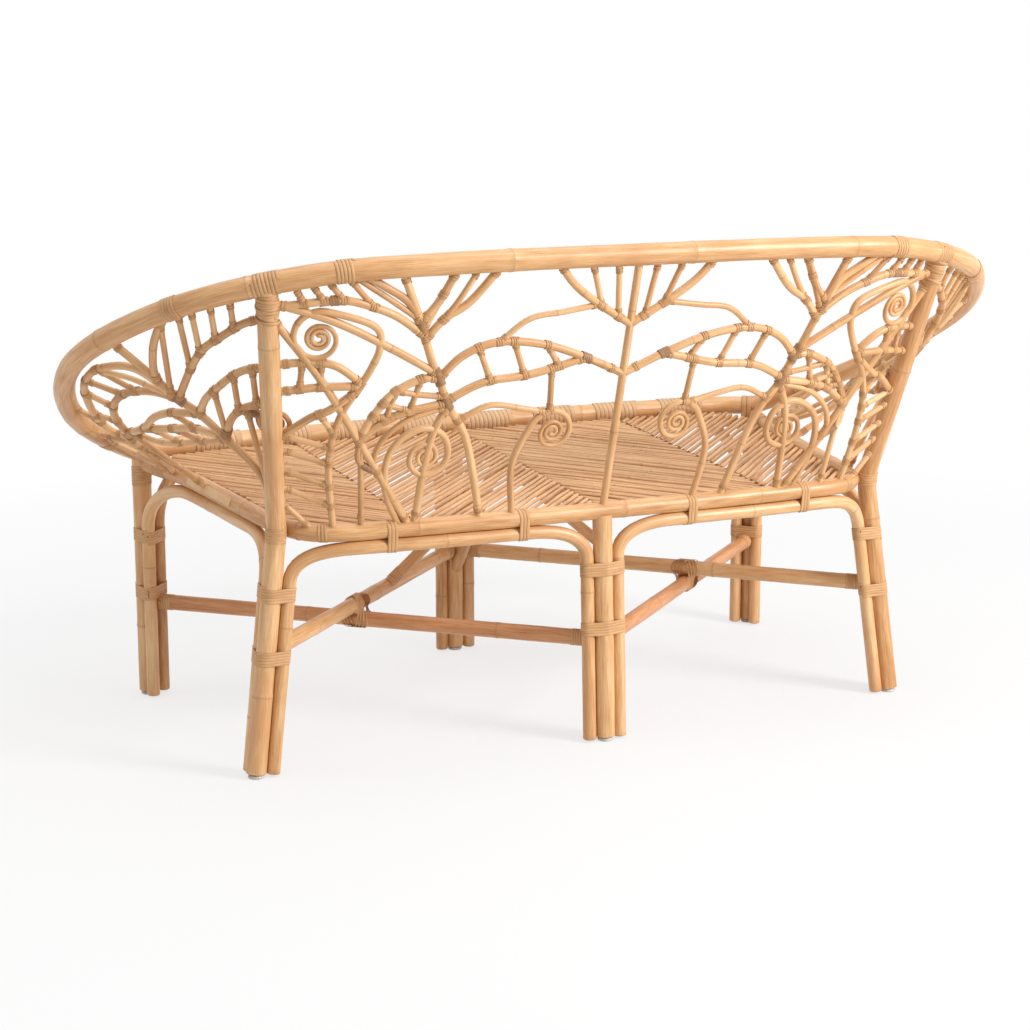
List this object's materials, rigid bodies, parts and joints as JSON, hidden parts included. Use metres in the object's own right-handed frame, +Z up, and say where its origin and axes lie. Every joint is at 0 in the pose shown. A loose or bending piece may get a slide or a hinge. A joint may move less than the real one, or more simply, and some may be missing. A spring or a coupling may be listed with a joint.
{
  "type": "rattan sofa",
  "caption": "Rattan sofa: a tilted hoop makes the arms and back, over scroll and leaf wickerwork, a flat seat of thin poles and bundled legs with arched braces.",
  "frame": {"origin": "middle of the footprint, on the floor", "axes": "+Z up, +X to the sitter's left, -Y to the front"},
  "size_m": [1.646, 0.7673, 0.8188],
  "materials": {
    "rattan": "satin lacquered honey rattan pole",
    "rattan_deep": "satin rattan pole, a little darker, under the seat",
    "peel": "flat rattan peel strip, wound",
    "glide": "white plastic glide"
  },
  "bodies": {
    "root": {"arch_back_left": "rattan", "arch_back_right": "rattan", "arch_end_left": "rattan", "arch_end_right": "rattan", "arch_front_left": "rattan", "arch_front_right": "rattan", "binding_back_left_high": "peel", "binding_back_left_low": "peel", "binding_back_middle_high": "peel", "binding_back_middle_low": "peel", "binding_back_right_high": "peel", "binding_back_right_low": "peel", "binding_front_left_high": "peel", "binding_front_left_low": "peel", "binding_front_middle_high": "peel", "binding_front_middle_low": "peel", "binding_front_right_high": "peel", "binding_front_right_low": "peel", "front_brace": "rattan", "front_rail": "rattan", "glide_back_left": "glide", "glide_back_middle": "glide", "glide_back_right": "glide", "glide_front_left": "glide", "glide_front_middle": "glide", "glide_front_right": "glide", "hoop": "rattan", "leg_back_left": "rattan", "leg_back_middle": "rattan", "leg_back_right": "rattan", "leg_front_left": "rattan", "leg_front_middle": "rattan", "leg_front_right": "rattan", "seat": "rattan", "seat_bearer": "rattan_deep", "seat_rail": "rattan", "seat_support": "rattan_deep", "stretcher_high_left": "rattan", "stretcher_high_right": "rattan", "stretcher_low_left": "rattan", "stretcher_low_right": "rattan", "strut_left": "rattan", "strut_right": "rattan", "wicker_back": "rattan", "wicker_left": "rattan", "wicker_right": "rattan"}
  },
  "joints": []
}
